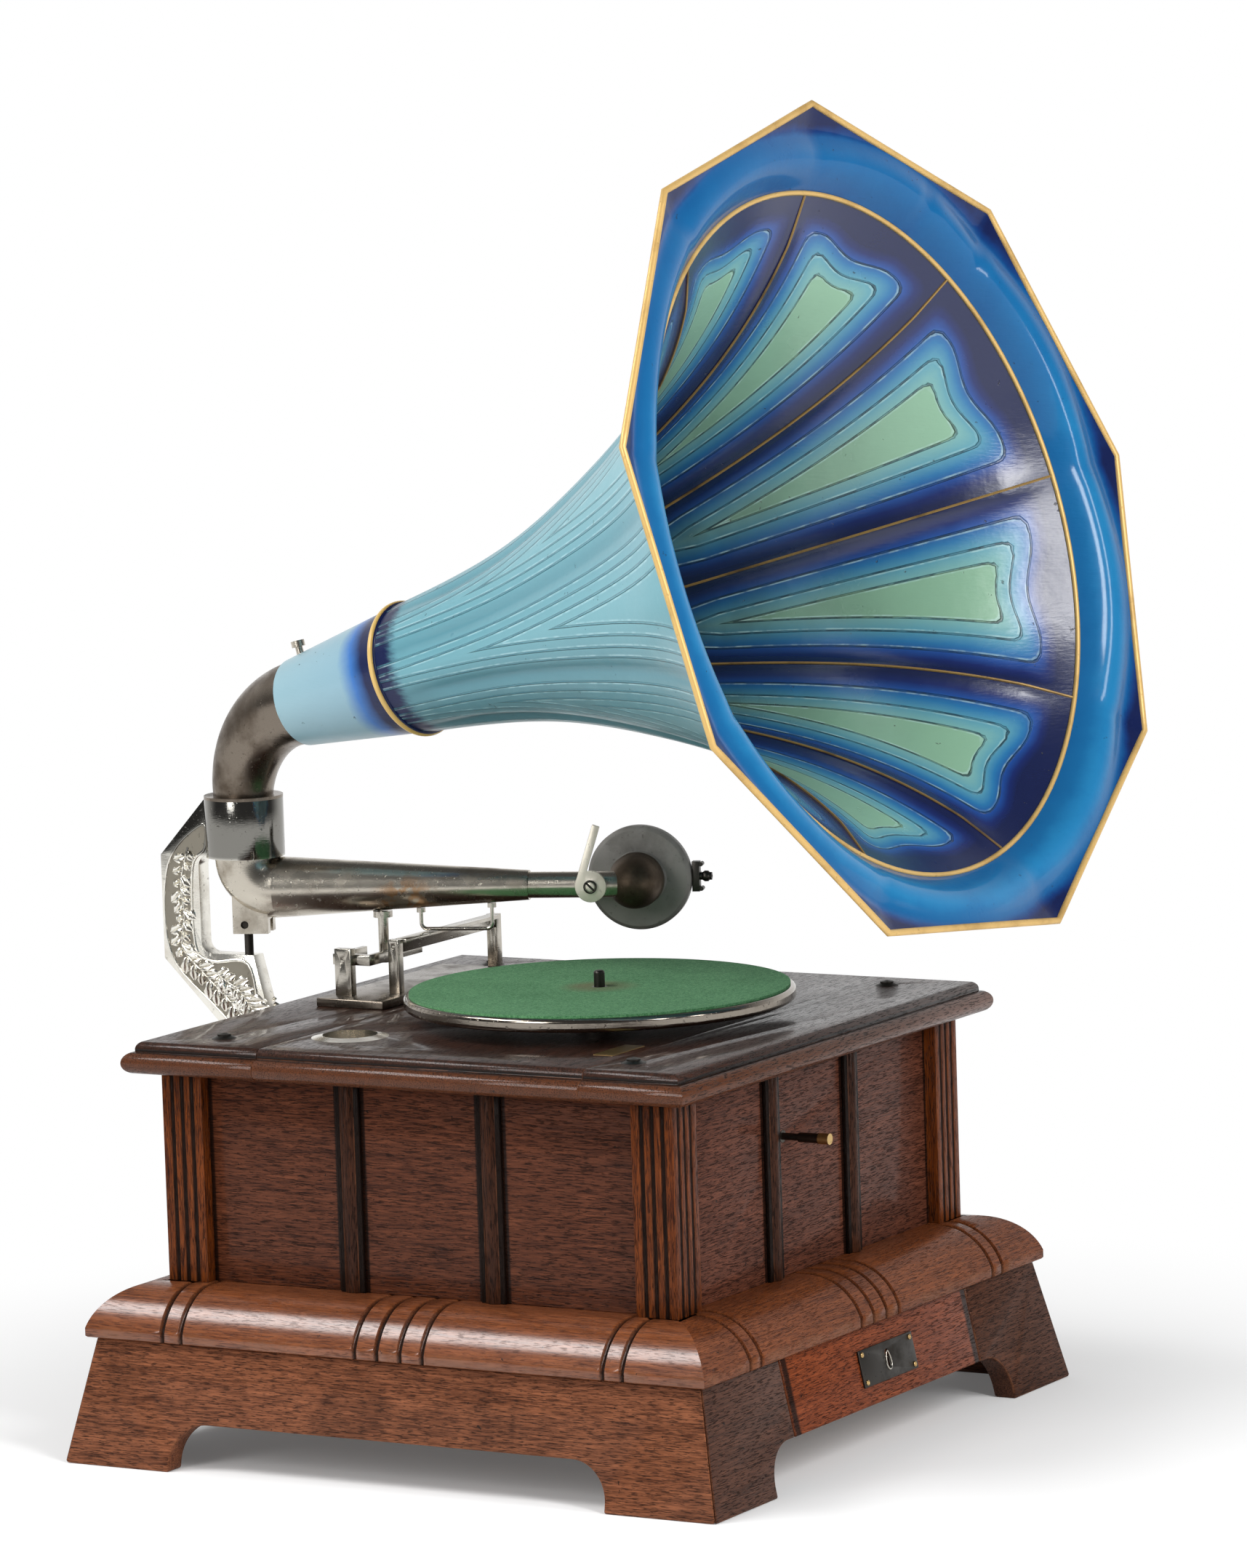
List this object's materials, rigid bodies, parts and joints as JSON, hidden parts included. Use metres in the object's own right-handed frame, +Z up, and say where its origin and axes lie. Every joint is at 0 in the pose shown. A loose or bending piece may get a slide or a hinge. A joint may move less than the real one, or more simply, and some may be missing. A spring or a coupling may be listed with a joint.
{
  "type": "coin-operated phonograph",
  "caption": "Coin-operated phonograph: square dark wood case on splayed feet with a coin drawer, felt turntable, tone arm on a rear bracket and a flared many-sided blue horn.",
  "frame": {"origin": "on the floor under the middle of the whole object's box", "axes": "+Z up; -Y is the front with the coin drawer and the horn's mouth; +Y the back with the bracket; -X the left side seen in the picture"},
  "size_m": [0.5512, 0.6652, 0.8603],
  "materials": {
    "wood": "dark red-brown stained and varnished, worn",
    "nickel": "nickel plate, warm and tarnished",
    "felt": "green felt",
    "horn_paint": "glossy blue lacquer",
    "gilt": "gilt brass",
    "steel": "dark steel",
    "pewter": "dull grey cast metal",
    "mica": "mica sheet",
    "brass": "dull brass",
    "iron": "black iron"
  },
  "bodies": {
    "case": {"plinth_right": "wood", "plinth_back": "wood", "plinth_left": "wood", "plinth_front_feet": "wood", "shoulder_moulding": "wood", "corner_posts": "wood", "panel_right": "wood", "panel_back": "wood", "panel_left": "wood", "panel_front": "wood", "mullions": "wood", "case_floor": "wood", "top_rear_board": "wood", "motor_board": "wood", "top_front_board": "wood", "top_screws": "steel", "corner_blocks": "wood", "needle_cup": "nickel", "bare_plate": "brass", "drawer_runners": "wood", "horn_bracket": "nickel", "bracket_screws": "steel", "lift_base": "nickel", "lift_posts": "nickel", "motor_frame": "iron", "motor_lower_plate": "iron", "motor_pillars": "steel", "coin_slot_plate": "brass", "coin_chute": "brass", "coin_lever_post": "steel"},
    "horn": {"horn_elbow": "horn_paint", "horn_throat": "horn_paint", "horn_petals": "horn_paint", "horn_rim": "horn_paint", "horn_ring": "gilt", "horn_screw": "gilt"},
    "arm_pivot": {"pivot_pin": "steel"},
    "arm": {"tone_arm": "nickel", "arm_crook": "nickel", "arm_stem": "nickel", "arm_bail": "nickel"},
    "sound_box": {"soundbox_shell": "pewter", "diaphragm": "mica", "needle_lever": "pewter", "needle": "steel"},
    "clamp": {"clamp_lever": "nickel"},
    "turntable": {"platter": "nickel", "felt_mat": "felt", "spindle": "steel"},
    "second_arbor": {"layshaft": "steel"},
    "barrel": {"spring_barrel": "brass"},
    "speed_governor": {"governor": "steel"},
    "winder": {"winding_arbor": "brass"},
    "pawl": {"ratchet_pawl": "steel"},
    "drawer": {"drawer_front": "wood", "drawer_tray": "wood", "lock_plate": "steel"},
    "trip": {"trip_lever": "nickel"},
    "rail": {"lift_rail": "nickel"},
    "coin_start": {"coin_lever": "steel"}
  },
  "joints": [
    {"name": "horn_swivel", "type": "hinge", "parent": "case", "child": "horn", "pos_m": [0.03463, 0.26856, 0.383], "axis": [0, 0, 1], "range_deg": [-45, 45]},
    {"name": "arm_swing", "type": "hinge", "parent": "case", "child": "arm_pivot", "pos_m": [0.03463, 0.26856, 0.29], "axis": [0, 0, 1], "range_deg": [-22, 20]},
    {"name": "arm_lift", "type": "hinge", "parent": "arm_pivot", "child": "arm", "pos_m": [0.03463, 0.26856, 0.318], "axis": [-0.9397, -0.342, 0], "range_deg": [0, 1]},
    {"name": "sound_box_turn", "type": "hinge", "parent": "arm", "child": "sound_box", "pos_m": [0.14252, 0.03061, 0.342], "axis": [0.9397, 0.342, 0], "range_deg": [0, 90]},
    {"name": "clamp_turn", "type": "hinge", "parent": "arm", "child": "clamp", "pos_m": [0.10654, 0.04466, 0.342], "axis": [0.9397, 0.342, 0], "range_deg": [-30, 30]},
    {"name": "turntable_spin", "type": "hinge", "parent": "case", "child": "turntable", "pos_m": [0.01553, -0.01314, 0.285], "axis": [0, 0, 1], "continuous": true},
    {"name": "second_arbor_spin", "type": "hinge", "parent": "case", "child": "second_arbor", "pos_m": [-0.00037, -0.06344, 0.16], "axis": [0, 0, 1], "continuous": true},
    {"name": "barrel_spin", "type": "hinge", "parent": "case", "child": "barrel", "pos_m": [-0.00037, -0.09344, 0.204], "axis": [0, 1, 0], "continuous": true},
    {"name": "governor_spin", "type": "hinge", "parent": "case", "child": "speed_governor", "pos_m": [0.05563, -0.00344, 0.19], "axis": [0, 0, 1], "continuous": true},
    {"name": "winder_turn", "type": "hinge", "parent": "case", "child": "winder", "pos_m": [-0.00037, -0.12344, 0.204], "axis": [0, 1, 0], "continuous": true},
    {"name": "pawl_lift", "type": "hinge", "parent": "case", "child": "pawl", "pos_m": [0.02063, -0.13344, 0.2208], "axis": [0, 1, 0], "range_deg": [0, 8]},
    {"name": "drawer_slide", "type": "slide", "parent": "case", "child": "drawer", "axis": [0, -1, 0], "range_m": [0, 0.15]},
    {"name": "trip_turn", "type": "hinge", "parent": "case", "child": "trip", "pos_m": [0.01713, 0.18206, 0.299], "axis": [-1, 0, 0], "range_deg": [0, 8]},
    {"name": "rail_turn", "type": "hinge", "parent": "case", "child": "rail", "pos_m": [0.09863, 0.15456, 0.307], "axis": [1, 0, 0], "range_deg": [0, 15]},
    {"name": "coin_press", "type": "hinge", "parent": "case", "child": "coin_start", "pos_m": [0.13583, -0.08344, 0.149], "axis": [0, 1, 0], "range_deg": [0, 10]}
  ],
  "couplings": [
    {"joint": "second_arbor_spin", "follows": "turntable_spin", "ratio": -0.2},
    {"joint": "barrel_spin", "follows": "turntable_spin", "ratio": 0.045},
    {"joint": "governor_spin", "follows": "turntable_spin", "ratio": -6}
  ]
}
